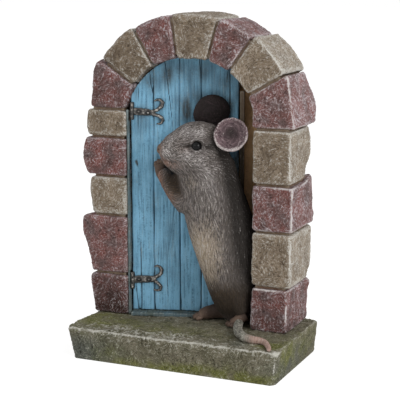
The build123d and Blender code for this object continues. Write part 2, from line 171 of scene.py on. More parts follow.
class Clay:
    """A closed skin of small even faces that is pushed about as clay is. Its points are in
    metres, and sizes and heights are given to it in millimetres."""

    def __init__(self, rough, grit):
        """The skin of a bmesh's solids, run together, with faces as large as the grit."""
        block = bpy.data.meshes.new("block")
        rough.to_mesh(block)
        rough.free()
        holder = placed("block", block)
        remesh = holder.modifiers.new("skin", "REMESH")
        remesh.mode = "VOXEL"
        remesh.voxel_size = grit * mm
        bpy.context.view_layer.update()
        solved = holder.evaluated_get(bpy.context.evaluated_depsgraph_get())
        self.mesh = bpy.data.meshes.new_from_object(solved)
        bpy.data.objects.remove(holder)
        bpy.data.meshes.remove(block)
        self.points = np.empty(len(self.mesh.vertices) * 3, np.float32)
        self.mesh.vertices.foreach_get("co", self.points)
        self.points = self.points.reshape(-1, 3).astype(float)
        self.edges = np.empty(len(self.mesh.edges) * 2, np.int32)
        self.mesh.edges.foreach_get("vertices", self.edges)
        self.edges = self.edges.reshape(-1, 2)
        self.neighbours = np.bincount(self.edges.ravel(), minlength=len(self.points))

    def normals(self):
        """Which way the skin faces at each point."""
        self.mesh.vertices.foreach_set("co", self.points.astype(np.float32).ravel())
        self.mesh.update()
        normals = np.empty(len(self.points) * 3, np.float32)
        self.mesh.vertices.foreach_get("normal", normals)
        return normals.reshape(-1, 3).astype(float)

    def eased(self, values, rounds):
        """Values at the points, each drawn towards its neighbours' mean a number of times."""
        near, far = self.edges.T
        for _ in range(rounds):
            drawn = []
            for value in np.atleast_2d(values.T):
                total = np.bincount(near, value[far], len(value))
                total += np.bincount(far, value[near], len(value))
                drawn.append(value / 2 + total / self.neighbours / 2)
            values = np.array(drawn).T.reshape(values.shape)
        return values

    def ease(self, rounds):
        """Smooths the skin."""
        self.points = self.eased(self.points, rounds)

    def push(self, height):
        """Moves the skin outwards by a height at each point."""
        self.points = self.points + self.normals() * np.reshape(height * mm, (-1, 1))

    def flatten(self, ground):
        """Lifts what hangs lower than a ground, in metres."""
        self.points[:, 2] = np.maximum(self.points[:, 2], ground)

    def lumps(self, size, seed, stretch=(1, 1, 1)):
        """Soft lumps of a size at each point, from about -1 to 1."""
        return lumps(self.points, size * mm, seed, stretch)

    def wear(self, rounds, depth):
        """How far each point stands out of the skin round it, from -1 to 1 at a depth."""
        stand = ((self.points - self.eased(self.points, rounds)) * self.normals()).sum(axis=1)
        return np.clip(stand / (depth * mm), -1, 1)

    def arris(self, *axes):
        """1 on the edges of a block whose faces look along three axes, and 0 on its faces."""
        normals = self.normals()
        square = np.max([np.abs((normals * axis).sum(axis=1)) for axis in axes], axis=0)
        return held((0.95 - square) / 0.2)

    def ragged_line(self, arris, seed, thin):
        """A broken line along an arris, which is as wide as the arris where thin is low."""
        uneven = self.lumps(3, seed) + 0.6 * self.lumps(1.3, seed)
        return held((self.eased(arris, 3) ** 4 - thin + 0.35 * uneven) / 0.25)

    def set_hard(self, name, material, slot, replaced, **marks):
        """Makes the skin a piece, with marks at its points that its paint goes by."""
        self.normals()
        for mark, values in marks.items():
            kind, part = ("FLOAT_VECTOR", "vector") if values.ndim == 2 else ("FLOAT", "value")
            layer = self.mesh.attributes.new(mark, kind, "POINT")
            layer.data.foreach_set(part, values.astype(np.float32).ravel())
        set_piece(name, self.mesh, material, slot, replaced)


def solids(*names):
    """A merged copy of some CAD nodes, whose own triangles are loose."""
    rough = bmesh.new()
    for name in names:
        rough.from_mesh(frame["nodes"][name].data)
    bmesh.ops.remove_doubles(rough, verts=rough.verts, dist=0.001 * mm)
    return rough


def held(values):
    """Values held between 0 and 1."""
    return np.clip(values, 0, 1)


def unit(ways):
    """Ways of length 1."""
    return ways / np.maximum(np.linalg.norm(ways, axis=1), 1e-6)[:, None]


def lumps(points, size, seed, stretch=(1, 1, 1)):
    """Soft lumps of a size at each point, from about -1 to 1."""
    places = points / (size * np.array(stretch)) + np.array((3.1, 7.7, 5.3)) * (seed + 1)
    return np.array([noise.noise(Vector(place)) for place in places])


def swirl(points, normals, size, seed):
    """A way along the skin at each point, which turns about over a size."""
    way = np.stack([lumps(points, size, seed + turn) for turn in (0.2, 0.4, 0.6)], axis=1)
    return unit(np.cross(normals, way))


def combed(points, flow, width, length, seed):
    """Strokes of a width and length along the flow, from -1 to 1."""
    strokes = sum(lumps(points + flow * (length * step), width, seed) for step in np.linspace(-0.5, 0.5, 7))
    return np.clip(strokes / strokes.std() / 2, -1, 1)


def veins(points, size, seed):
    """Thin winding ridges of a mesh size: 1 on a ridge and 0 between them."""
    bent = points + 0.25 * size * np.stack([lumps(points, size, seed + turn) for turn in (0.3, 0.5, 0.7)],
        axis=1)
    return held(1 - np.abs(lumps(bent, size, seed)) / 0.14)


def borders(points, size, seed):
    """Borders between cells of a size: 1 on a border and 0 inside a cell."""
    places = points / size + seed + 0.3 * np.stack([lumps(points, 0.7 * size, seed + turn)
        for turn in (0, 1, 2)], axis=1)
    first, second = np.array([noise.voronoi(Vector(place))[0][:2] for place in places]).T
    return held(1 - (second - first) / 0.3)


def near(points, centre, reach):
    """A soft spot round a centre: 1 there, and little beyond its reach."""
    away = (points - np.array(centre)) / np.array(reach)
    return np.exp(-(away ** 2).sum(axis=1))


def spots_on(points, spots):
    """What a table of soft spots adds up to: a centre, a reach and a share in each row."""
    return sum(near(points, spot, reach) * share for spot, reach, share in spots)


def painted_resin(name, hollow, body, blotch, rubbed, stains=(), roughness=0.8, strokes=None, net=0.25,
        shine=0.2, speckle=0.8, cells=None):
    """Cast resin in matt paint: a body colour with soft blotches, a thin dark wash in the
    hollows, and pale paint rubbed over the crests. A stain is a mark and its colour. Strokes
    of a fine tool run along the mark "lie": their width and length in millimetres, and how
    strongly they take the paint. A net of crests winds over it all, or parts it into cells."""
    material = bpy.data.materials.new(name)
    material.use_nodes = True
    tree = material.node_tree
    shader = tree.nodes["Principled BSDF"]
    place = tree.nodes.new("ShaderNodeTexCoord").outputs["Object"]
    wear = add_node(tree, "Attribute", {}, attribute_name="wear").outputs["Fac"]
    patches = add_node(tree, "TexNoise", {"Vector": place, "Scale": 1 / (8 * mm), "Detail": 3.0})
    specks = add_node(tree, "TexNoise", {"Vector": place, "Scale": 1 / (1.3 * mm), "Detail": 3.0,
        "Roughness": 0.6})
    winding = add_node(tree, "TexNoise", {"Vector": place, "Scale": 1 / (2.0 * mm), "Detail": 1.5,
        "Distortion": 0.9})
    off_crest = add_node(tree, "Math", {0: winding, 1: 0.5}, operation="SUBTRACT")
    off_crest = add_node(tree, "Math", {0: off_crest}, operation="ABSOLUTE")
    crest = add_node(tree, "MapRange", {"Value": off_crest, "From Max": 0.05, "To Min": net, "To Max": 0.0})
    patchy = add_node(tree, "MapRange", {"Value": patches, "From Min": 0.35, "From Max": 0.65})
    if cells:
        bent = add_node(tree, "VectorMath", {0: winding.outputs["Color"], 1: (0.7 * mm,) * 3, 2: place},
            operation="MULTIPLY_ADD")
        cell = add_node(tree, "TexVoronoi", {"Vector": bent.outputs[0], "Scale": 1 / (cells * mm)},
            feature="DISTANCE_TO_EDGE")
        border = add_node(tree, "MapRange", {"Value": cell, "From Max": 0.2, "To Min": net, "To Max": 0.0})
        share = add_node(tree, "MapRange", {"Value": patchy, "To Min": 1.0, "To Max": 0.35})
        crest = add_node(tree, "Math", {0: border, 1: share}, operation="MULTIPLY")
    ground = add_node(tree, "Mix", {"Factor": patchy, "A": body, "B": blotch}, data_type="RGBA")
    grain = add_node(tree, "MapRange", {"Value": specks, "To Min": 0.35 - speckle / 2,
        "To Max": 0.35 + speckle / 2}, clamp=False)
    relief = add_node(tree, "Math", {0: grain, 1: wear}, operation="ADD")
    relief = add_node(tree, "Math", {0: crest, 1: relief}, operation="ADD")
    height = add_node(tree, "Math", {0: crest, 1: specks}, operation="ADD")
    if strokes:
        width, length, strength = strokes
        lie = add_node(tree, "Attribute", {}, attribute_name="lie").outputs["Vector"]
        sample = None
        for step in np.linspace(-0.5, 0.5, 7):
            along = add_node(tree, "VectorMath", {0: lie, 1: (float(step) * length * mm,) * 3, 2: place},
                operation="MULTIPLY_ADD")
            hair = add_node(tree, "TexNoise", {"Vector": along.outputs[0], "Scale": 1 / (width * mm),
                "Detail": 1.0})
            sample = add_node(tree, "Math", {0: hair, 1: sample}, operation="ADD") if sample else hair
        hairs = add_node(tree, "MapRange", {"Value": sample, "From Min": 3.15, "From Max": 3.85,
            "To Min": -strength, "To Max": strength})
        relief = add_node(tree, "Math", {0: hairs, 1: relief}, operation="ADD")
        height = add_node(tree, "Math", {0: hairs, 1: height}, operation="ADD")
    painted = ground
    for mark, colour in stains:
        spread = add_node(tree, "Attribute", {}, attribute_name=mark).outputs["Fac"]
        ragged = add_node(tree, "Math", {0: height, 1: 0.6, 2: spread}, operation="MULTIPLY_ADD")
        cover = add_node(tree, "MapRange", {"Value": ragged, "From Min": 0.5, "From Max": 1.4,
            "To Max": 0.95})
        painted = add_node(tree, "Mix", {"Factor": cover, "A": painted.outputs[2], "B": colour},
            data_type="RGBA")
    wash = add_node(tree, "MapRange", {"Value": relief, "From Min": 0.38, "From Max": -0.15,
        "To Max": 0.85})
    darker = [dark / light for dark, light in zip(linear(hollow), linear(body))]
    painted = add_node(tree, "Mix", {"Factor": wash, "A": painted.outputs[2], "B": darker},
        data_type="RGBA", blend_type="MULTIPLY")
    rub = add_node(tree, "MapRange", {"Value": relief, "From Min": 0.66, "From Max": 1.4, "To Max": 0.85})
    painted = add_node(tree, "Mix", {"Factor": rub, "A": painted.outputs[2], "B": rubbed}, data_type="RGBA")
    grit = add_node(tree, "Bump", {"Height": height, "Distance": 0.3 * mm, "Strength": 0.7})
    tree.links.new(painted.outputs[2], shader.inputs["Base Color"])
    tree.links.new(grit.outputs[0], shader.inputs["Normal"])
    shader.inputs["Roughness"].default_value = roughness
    shader.inputs["Specular IOR Level"].default_value = shine
    return material


mossy_stone = painted_resin("mossy stone paint", "#2d2a1f", "#736d5c", "#5e5a48", "#b5b3a6",
    stains=[("damp", "#4e524d"), ("moss", "#686a34"), ("chalk", "#cac8c0")], strokes=(0.45, 1.4, 0.3),
    net=0.25, speckle=1.0)
slab_low, slab_high = (np.array(corner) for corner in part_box("base_slab"))
slab = Clay(solids("base_slab"), grit=0.55)
slab_lip = slab.arris((1, 0, 0), (0, 1, 0), (0, 0, 1))
slab.ease(2)
slab.push(slab_lip * 0.25)
# Its foot stays flat, and the rest swells, with its edges knocked off here and there.
flat_foot = 1.5 * mm
free = held((slab.points[:, 2] - slab_low[2]) / flat_foot)
slab.push(free * slab.lumps(17, 1) * 0.8)
knocked = held(1.6 * slab.lumps(5, 2) - 0.1) * free
slab.points += (slab.eased(slab.points, 24) - slab.points) * knocked[:, None]
slab_lie = swirl(slab.points, slab.normals(), 7 * mm, 3) + (0.5, 0, 0)
scratches = combed(slab.points, slab_lie, 1.0 * mm, 3.0 * mm, 4)
slab_veins = veins(slab.points, 3.2 * mm, 5)
slab.push(free * (0.35 * slab.lumps(4.5, 3) + 0.2 * scratches + 0.15 * slab_veins))
# Places and reaches on it are shares of its width, depth and height.
slab_place = (slab.points - slab_low) / (slab_high - slab_low)
moss_spots = [((0.62, 0, 0.12), (0.14, 0.2, 0.25), 0.9), ((0.85, 0, 0.1), (0.14, 0.2, 0.35), 1),
    ((0.4, 0, 0), (0.2, 0.2, 0.25), 0.9), ((1, 0.25, 0.75), (0.1, 0.12, 0.3), 1),
    ((0.94, 0.14, 1), (0.05, 0.07, 0.2), 1.3), ((0.05, 0.3, 1), (0.12, 0.3, 0.3), 0.7),
    ((0.4, 0.25, 1), (0.35, 0.16, 0.2), 0.6), ((1, 0.6, 0.5), (0.1, 0.5, 0.6), 0.5),
    ((0.2, 0, 0.35), (0.1, 0.2, 0.4), 0.35)]
damp_spots = [((0.06, 0, 0.2), (0.22, 0.2, 0.7), 1.1), ((1, 0.3, 0.3), (0.1, 0.6, 0.6), 0.9),
    ((0.8, 0.12, 1), (0.06, 0.12, 0.2), 0.6)]
moss, damp = spots_on(slab_place, moss_spots), spots_on(slab_place, damp_spots)
moss *= np.clip(1 + slab.lumps(6, 8), 0.3, 1.4)


def thread(one, other, seed):
    """A thin wandering line along the edge that two faces meet in, from the depths under both."""
    thick, edge_reach = 0.42 * mm, 5 * mm
    wander = 0.8 * mm * slab.lumps(6, seed) + 0.3 * mm * slab.lumps(2, seed)
    line = np.exp(-(((one - other) / 1.4 - wander) / thick) ** 2)
    return line * (one + other < edge_reach) * held(0.8 + 1.5 * slab.lumps(5, seed + 1))


# White lies in threads on the front top edge, the front right corner and the right top edge.
behind, below = slab.points[:, 1] - slab_low[1], slab_high[2] - slab.points[:, 2]
inside = slab_high[0] - slab.points[:, 0]
threads = [thread(behind, below, 5), 0.8 * thread(behind, below, 6), 0.9 * thread(inside, behind, 7),
    0.5 * thread(inside, below, 8)]
chalk = np.max(threads, axis=0)
chalk += 0.35 * slab.ragged_line(slab_lip, 6, 0.65) * near(slab_place, (0.5, 0, 1), (1, 0.2, 0.4))
chalk += near(slab_place, (1, 0, 1), (0.04, 0.07, 0.2)) * np.clip(1.5 * slab.lumps(3, 7), 0, 0.8)
chalk += veins(slab.points, 1.8 * mm, 7) * 0.6 * near(slab_place, (0.5, 0, 1), (1, 0.1, 0.35))
chalk += np.clip(1.5 * scratches, 0, 0.8) * near(slab_place, (0.4, 0.1, 1), (0.4, 0.1, 0.15))
slab.push(0.35 * chalk)
slab.flatten(slab_low[2])
rubbed_top = 0.2 * near(slab_place, (0.4, 0.05, 1), (0.5, 0.1, 0.15)) + 0.25 * slab.lumps(6, 9)
slab_wear = 0.3 * slab.wear(12, 0.5) + 0.15 * scratches + 0.2 * slab_veins + rubbed_top
slab.set_hard("slab", mossy_stone, "mossy_slab", ["base_slab"], moss=held(moss), damp=held(damp),
    chalk=held(chalk), lie=slab_lie, wear=slab_wear)


# Stones: squared blocks laid up in two piers and an arch. Each was cut from clay with its
# edges knocked off and its faces combed into winding tracks, and is painted red or beige.
red_stone = painted_resin("red stone paint", "#2c1a19", "#7a4d48", "#665351", "#bab1b4",
    stains=[("dark", "#33211c"), ("chalk", "#cdc8c5")], strokes=(0.4, 1.1, 0.3), net=0.45, cells=1.7,
    speckle=1.3)
beige_stone = painted_resin("beige stone paint", "#3d332b", "#897a68", "#736555", "#c6c3bc",
    stains=[("dark", "#4a3b2b"), ("chalk", "#cdcac4")], strokes=(0.4, 1, 0.34), net=0.22, speckle=1.5)
stone_paints = {"red_stone": red_stone, "beige_stone": beige_stone}
stone_slots = {part["node"]: part["material_slot"] for part in frame["record"]["subparts"]
    if part["material_slot"] in stone_paints}
# Where a stone was pulled out of square: a corner as shares of its box, and a reach and a
# pull in millimetres.
stone_pulls = {
    "left_stone_1": [((0, 0, 0.75), 7, (-1.6, 0, 0)), ((0, 0, 0.1), 6, (0.5, 0, 0))],
    "left_stone_2": [((0, 0, 0.8), 9, (-3, 0, 0)), ((0, 0, 0), 10, (2.6, 0, 0))],
    "left_stone_3": [((0, 0, 0.7), 9, (-1.2, 0, 0)), ((0, 0, 0), 6, (0.8, 0, 0))],
    "left_stone_4": [((0, 0, 0.5), 9, (-1.7, 0, 0)), ((0, 0, 0), 4, (1.2, 0, 0))],
    "left_stone_5": [((0, 0, 0.4), 6, (-1, 0, 0)), ((0, 0, 0), 4, (0.5, 0, 0))],
    "left_springer": [((0, 0, 0.8), 9, (-2, 0, 0)), ((0.15, 0, 1), 4, (0, 0, -1.5))],
    "right_springer": [((1, 1, 1), 7, (-3.4, 0, -0.8)), ((1, 1, 0.4), 8, (1.4, 0, 0))],
    "right_stone_4": [((1, 1, 1), 7, (-2.2, 0, 0)), ((1, 1, 0.05), 9, (-3.6, 0, 2))],
    "right_stone_3": [((1, 1, 1), 9, (-1, 0, 3))],
    "right_stone_2": [((1, 1, 0), 5, (-2, 0, 0.5))],
    "right_stone_1": [((1, 1, 1), 5, (1.2, 0, 0))],
}
# How much darker a stone is. A stone below 0 is paler than the rest.
stone_shades = {"left_stone_1": 0.7, "left_stone_3": -0.4, "right_stone_2": -0.15, "arch_stone_4": -0.15,
    "left_stone_5": 0.15, "left_springer": 0.3, "arch_stone_1": 0.5, "arch_stone_2": 0.2,
    "arch_stone_3": 0.2, "right_stone_1": 0.35, "right_stone_3": 0.15, "right_stone_4": 0.15,
    "keystone": 0.25}


arch_centre = np.array((-4, 0, 132)) * mm
# The crown hangs lower in front than its blocks were cut.
sag_place, sag_reach, sag = np.array((-4, 0, 171)) * mm, np.array((19, 16, 8)) * mm, (0, 0, -2.0 * mm)


def crown_sag(points):
    """How far each point of the crown hangs down."""
    return near(points, sag_place, sag_reach)[:, None] * sag


def toward_beds(points):
    """Which way the next stone lies: up in the piers, and round the centre in the arch."""
    away = points - arch_centre
    away[:, 1] = 0
    away[:, 2] = np.maximum(away[:, 2], 0.001 * mm)
    along = unit(np.stack([away[:, 2], away[:, 1], -away[:, 0]], axis=1))
    along[points[:, 2] < arch_centre[2]] = (0, 0, 1)
    return along


def shape_stone(stone, node, seed, beds, arris):
    """Breaks the edges, pulls the block out of square and chips it, but little in its joints."""
    stone.push(0.5 * arris)
    stone.ease(1)
    free = 1 - 0.7 * held(np.abs((stone.normals() * beds).sum(axis=1)))
    low, high = (np.array(corner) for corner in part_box(node))
    for share, reach, pull in stone_pulls.get(node, []):
        corner = low + (high - low) * share
        stone.points += near(stone.points, corner, reach * mm)[:, None] * np.array(pull) * mm
    stone.points += crown_sag(stone.points)
    stone.push(free * (0.6 * stone.lumps(13, seed) + 0.3 * stone.lumps(6, seed + 0.7)))
    chips = held(1.8 * stone.lumps(4, seed + 0.3) - 0.25)
    stone.points += (stone.eased(stone.points, 14) - stone.points) * chips[:, None]
    return free, low[2], high[2]


def lay_stone(node, seed):
    """One stone, shaped, combed and painted. Painted light makes it paler to the right and where it faces
    up and to the right.
    """
    stone = Clay(solids(node), grit=0.5)
    slot, shade = stone_slots[node], stone_shades.get(node, 0)
    beds = toward_beds(stone.points)
    arris = stone.arris(beds, (0, 1, 0), np.cross(beds, (0, 1, 0)))
    free, foot, head = shape_stone(stone, node, seed, beds, arris)
    # Painted light: stones further right, and faces turned up and to the right, are painted paler, and
    # their pale edge lines are stronger there.
    from_right = np.clip(0.35 + stone.points[:, :1].mean() / (50 * mm), 0.25, 1)
    facing = stone.normals()
    lit = held(facing @ (0.85, 0, 0.53))
    strength = from_right * (0.5 + 0.6 * lit) * np.clip(0.75 + 1.8 * stone.lumps(11, seed + 0.1), 0.1, 1)
    chalk = 1.3 * stone.ragged_line(arris, seed, 0.5) * strength
    flow = unit(swirl(stone.points, facing, 9 * mm, seed) + 0.8 * np.cross(beds, facing))
    tracks = combed(stone.points, flow, 1.0 * mm, 3.0 * mm, seed + 0.8)
    red = slot == "red_stone"
    net = borders(stone.points, 2.1 * mm, seed) if red else veins(stone.points, 2.3 * mm, seed)
    net *= held(0.6 + 1.2 * stone.lumps(8, seed + 0.4))
    stone.push((0.25 * stone.lumps(4, seed + 0.6) + 0.15 * tracks + 0.18 * net) * (0.4 + 0.6 * free))
    # Each stone is darker in patches and towards its bottom.
    dark = shade + 0.5 * held(1.3 * stone.lumps(8, seed + 0.2))
    dark *= 1.2 - (stone.points[:, 2] - foot) / (head - foot) * 0.5
    halo = held(2.5 * stone.eased(arris, 40))
    # Painted light: the rubbed and netted paint lies thicker on faces turned up and to the right, and on
    # red stones more on higher stones.
    up = np.clip(stone.points[:, 2].mean() / (140 * mm), 0.45, 1)
    if red:
        netted = net * (0.2 + 0.2 * from_right + 0.2 * lit * up)
        rubbed = 0.3 * lit * up + 0.1 * halo - 0.08
    else:
        netted = 0.2 * net
        rubbed = 0.45 * lit + 0.22 * halo
    rubbed = rubbed + 0.2 * stone.lumps(4, seed + 0.5) - 0.35 * min(shade, 0)
    wear = 0.1 * tracks + 0.3 * stone.wear(12, 0.5) + netted + rubbed
    stone.set_hard(node + "_hewn", stone_paints[slot], slot, [node], lie=flow, dark=held(dark),
        chalk=held(chalk), wear=wear)


for seed, node in enumerate(sorted(stone_slots)):
    lay_stone(node, seed)


# Mortar: brown filling of the joints. It lies back from the faces of the stones, and was
# smeared in by hand, so it is uneven.
mortar_paint = painted_resin("mortar paint", "#2b211a", "#5d4c3b", "#5c3d31", "#857868")
for node in ("left_mortar", "arch_mortar", "right_mortar"):
    mortar = Clay(solids(node), grit=0.45)
    mortar.points += crown_sag(mortar.points)
    mortar.push(mortar.lumps(4, 40) * 0.4 + 0.5)
    mortar.set_hard(node + "_smeared", mortar_paint, "mortar", [node], wear=mortar.wear(8, 0.3))


# Back panel: closes the archway behind the door, and is let into the stones round it. Warm
# brown paint inside, where little light comes, and plain grey brown on the back.
dark_panel = painted_resin("brown plaster paint", "#6a5038", "#d9af83", "#bb956d", "#d8c0a0",
    stains=[("behind", "#655c52")])
panel = Clay(solids("back_panel"), grit=0.8)
let_in = 1.6 * mm
panel.points += panel.normals() * (let_in, 0, let_in)
panel.push(panel.lumps(3, 50, (1, 1, 6)) * 0.3 - 0.15)
on_back = (panel.points[:, 1] > panel.points[:, 1].mean()) * 1.0
panel.set_hard("back_panel_rough", dark_panel, "dark_back", ["back_panel"], behind=1.3 * on_back,
    wear=panel.wear(8, 0.3) * (1 - on_back) - 0.2 * on_back)


# Door: upright planks with raised grain and drying cracks, in blue paint that has worn
# thin. Places on it are along it from the hinge edge, out of it, and up, in millimetres.
door_turn = math.radians(17)
hinge_edge = np.array((-41.8, 4, 0)) * mm
along_door = np.array((math.cos(door_turn), math.sin(door_turn), 0))
out_of_door = np.array((along_door[1], -along_door[0], 0))
upward = np.array((0, 0, 1))


def at_door(along, out, up):
    """A point given in the door's own frame, in millimetres."""
    return hinge_edge + (along * along_door + out * out_of_door + up * upward) * mm


def in_door(points):
    """Points in the door's own frame, in metres."""
    away = points - hinge_edge
    return np.stack([away @ along_door, away @ out_of_door, away[:, 2]], axis=1)


def weathered_blue():
    """Blue paint on wood grain: dark streaks along the grain, and grey wood where it has worn off."""
    material = painted_resin("weathered blue paint", "#1b2a33", "#80b3d0", "#71a2be", "#b0c8d2",
        roughness=0.7, stains=[("smudge", "#3c3933"), ("seam", "#15202a")])
    tree = material.node_tree
    shader = tree.nodes["Principled BSDF"]
    painted = shader.inputs["Base Color"].links[0].from_socket
    place = tree.nodes.new("ShaderNodeTexCoord").outputs["Object"]
    scale = (1 / (0.9 * mm), 1 / (3 * mm), 1 / (16 * mm))
    grain = add_node(tree, "Mapping", {"Vector": place, "Rotation": (0, 0, -door_turn), "Scale": scale},
        vector_type="POINT")
    streaks = add_node(tree, "TexNoise", {"Vector": grain, "Scale": 1.0, "Detail": 5.0, "Roughness": 0.6})
    dark = add_node(tree, "MapRange", {"Value": streaks, "From Min": 0.5, "From Max": 0.3, "To Max": 0.55})
    streaked = add_node(tree, "Mix", {"Factor": dark, "A": painted, "B": "#48728c"}, data_type="RGBA")
    bare = add_node(tree, "MapRange", {"Value": streaks, "From Min": 0.6, "From Max": 0.78, "To Max": 0.6})
    worn = add_node(tree, "Mix", {"Factor": bare, "A": streaked, "B": "#98a9ae"}, data_type="RGBA")
    tree.links.new(worn.outputs[2], shader.inputs["Base Color"])
    return material


# Painted shadow, breathed on round the mouse, behind its neck, round its ear and paw and under the arch, in
# rows of a place along and up the door, a reach along and up, and a share.
door_smudges = [((46, 139), (14, 13), 0.8), ((59, 152), (9, 15), 0.85), ((34, 141), (5, 7), 0.5),
    ((33, 149), (9, 7), 0.3), ((30, 128), (8, 10), 0.35), ((26, 162), (9, 6), 0.7),
    ((42, 163), (12, 7), 0.6), ((12, 158), (10, 7), 0.5), ((15.5, 108), (4, 11), 0.6),
    ((5, 140), (6, 5), 0.4), ((4, 128), (7, 22), 0.3), ((4, 40), (5, 3), 0.3), ((18, 146), (9, 10), 0.2),
    ((20, 78), (9, 26), 0.25), ((24, 50), (9, 14), 0.3), ((44, 62), (8, 34), 0.45),
    ((32, 22), (40, 3), 0.4), ((61, 108), (4.5, 15), 1.6), ((3.1, 110.2), (0.7, 1.1), 1.4),
    ((3.7, 108.6), (0.6, 1.3), 1.4)]
# Painted shade and dark wash round the iron of the hinges, and a darker stretch down the last seam.
iron_soot = [((6, 139.4), (6.5, 2.7), 0.9), ((16, 142), (2.6, 3), 0.55), ((18.4, 144.5), (1.9, 2.3), 0.7),
    ((16.5, 136.5), (2.6, 2.6), 0.55), ((17.5, 134), (2, 2), 0.6), ((6, 40.1), (6.5, 2.9), 0.9),
    ((15, 43), (2.6, 3), 0.55), ((17.2, 46), (1.9, 2.4), 0.7), ((15, 37.5), (2.6, 3), 0.55),
    ((16.2, 34.6), (2, 2), 0.6), ((57.7, 146), (0.6, 14), 0.8)]
# Where the seams between the planks are nearly painted over, in the same terms.
filled_seams = [((28, 155), (20, 13), 0.75), ((41.3, 152), (5, 20), 0.7)]


def weathered_board(name, node, paint, seed, cracks):
    """One board, with grain, cracks of a depth in millimetres, dark seams, and painted shadow over a faint
    mottle.
    """
    board = Clay(solids(node), grit=0.45)
    board.ease(2)
    place = in_door(board.points)
    flat = place[:, [0, 2]] / mm
    grain = lumps(place, 1.0 * mm, seed, (1, 2, 12))
    waves = lumps(place, 3.5 * mm, seed, (1, 1, 9))
    crack = held(1 - np.abs(lumps(place, 7 * mm, seed + 9, (1, 3, 12))) * 22)
    crack *= cracks * held(lumps(place, 9 * mm, seed + 5, (1, 1, 3)) * 3 + 0.3)
    board.push(0.2 * grain + 0.25 * waves - crack)
    seam_reach = 0.55
    side = np.minimum(flat[:, 0] - flat[:, 0].min(), flat[:, 0].max() - flat[:, 0])
    seam = np.exp(-(side / seam_reach) ** 2)
    seam *= np.clip(0.8 + 1.5 * lumps(place, 6 * mm, seed + 2, (1, 1, 3)), 0.2, 1)
    for spot, reach, share in filled_seams:
        seam *= 1 - share * near(flat, spot, reach)
    # The dark seams and cracks also take the painted shade and dark wash round the iron.
    seam += spots_on(flat, iron_soot) + 1.5 * crack
    # Painted shadow from the mouse and the arch, broken up, over a faint mottle.
    smudge = spots_on(flat, door_smudges)
    smudge *= np.clip(0.85 + 0.8 * lumps(place, 5 * mm, 4, (1, 1, 2)), 0.3, 1.5)
    smudge += 0.03 + 0.3 * lumps(place, 6 * mm, 3, (1, 1, 3))
    board.set_hard(name, paint, "blue_wood", [node], smudge=held(smudge), seam=held(seam),
        wear=0.6 * board.wear(8, 0.25) + 0.2 * grain - 0.6 * crack)


door_paint = weathered_blue()
for number in range(1, 6):
    weathered_board(f"plank_{number}", f"door_plank_{number}", door_paint, 60 + number, 0.6)


# Threshold and jamb: strips of the door frame whose blue has worn down to grey wood. Beside
# the door's free edge a bare strip of wood shows.
worn_blue = painted_resin("worn blue-grey paint", "#262b2c", "#566a72", "#535d59", "#98a09e",
    stains=[("smudge", "#3d3a30")])
weathered_board("threshold_board", "threshold", worn_blue, 70, 0.2)
weathered_board("jamb_strip", "left_jamb", worn_blue, 71, 0.2)
strip_low, strip_high = np.array((63.2, 0.4, 19)), np.array((65.8, -3.5, 152))
strip_middle, strip_size = (strip_low + strip_high) / 2, np.abs(strip_high - strip_low)
free_edge = bmesh.new()
bmesh.ops.create_cube(free_edge, size=1, matrix=Matrix.LocRotScale(Vector(at_door(*strip_middle)),
    Matrix.Rotation(door_turn, 3, "Z"), Vector(strip_size * mm)))
edge_strip = Clay(free_edge, grit=0.45)
edge_strip.ease(4)
edge_strip.push(0.25 * lumps(in_door(edge_strip.points), 3 * mm, 73, (1, 1, 5)))
bare_wood = painted_resin("bare wood paint", "#2b2219", "#77695a", "#65574a", "#a59a8a",
    stains=[("smudge", "#2a241d")])
# Painted shade: the bare strip is darkest low down behind the mouse, and pales above a height.
darkest, pale_from, pale_over = 0.9, 125, 20
paling = (edge_strip.points[:, 2] / mm - pale_from) / pale_over
edge_strip.set_hard("edge_strip", bare_wood, "blue_wood", [], wear=edge_strip.wear(8, 0.25),
    smudge=darkest - np.clip(paling, 0, darkest))


# Hinges: wrought iron straps that end in two curled horns, cast in the resin and painted
# black, with silver rubbed over all that stands up. Two round rivet heads show on each.
iron_paint = painted_resin("rubbed iron paint", "#0b0b0d", "#494745", "#3b3a38", "#cdc8c0", roughness=0.4,
    shine=0.5, speckle=1.2)
iron_paint.node_tree.nodes["Principled BSDF"].inputs["Metallic"].default_value = 0.3
# A row of a stroke of the strap is along and up the door, then half its width.
upper_band = [(1.6, 139.7, 1.9), (3, 139.6, 2.3), (7.4, 139.3, 2.1), (11.5, 139, 1.8), (13.5, 138.9, 0.9)]
upper_top_horn = [(10.5, 139.4, 1), (13, 139.7, 1.1), (15.7, 140.5, 1), (18.2, 142.9, 1.15),
    (18.9, 144.9, 1.15), (17.6, 146.3, 0.95), (15.6, 146.5, 0.8), (13.9, 145.7, 0.4)]
upper_low_horn = [(10.5, 138.4, 1), (13, 138.1, 1), (16.4, 137.2, 1), (18.3, 136, 1.1), (18.9, 134.4, 1),
    (18, 133, 0.85), (16.6, 132.5, 0.65), (15.3, 132.8, 0.35)]
lower_band = [(1.2, 39.9, 2.2), (4, 40, 2.3), (9, 40.2, 2.2), (12.5, 40.4, 2), (14.2, 40.4, 1.1)]
lower_top_horn = [(11, 40.9, 1), (13.6, 41.5, 1.1), (15.8, 42.4, 1.1), (17.4, 44.2, 1.2),
    (17.7, 46.2, 1.15), (16.5, 47.9, 0.9), (14.8, 48.6, 0.6), (13.3, 47.8, 0.35)]
lower_low_horn = [(11.5, 39.8, 1), (13.6, 39.2, 1), (16.1, 37.4, 0.95), (17.3, 35.6, 1.05),
    (16.6, 33.9, 0.95), (14.8, 33.5, 0.75), (13, 34.2, 0.4)]
# A hinge is its strokes, its rivets along and up the door, and its knuckle along the door and
# from one height to another.
hinge_shapes = {
    "upper": ([upper_band, upper_top_horn, upper_low_horn], [(5, 139.5), (10.3, 138.9)], (1, 134.9, 144.9)),
    "lower": ([lower_band, lower_top_horn, lower_low_horn], [(4.2, 40), (10.1, 40.2)], (0.4, 34.4, 44.4)),
}


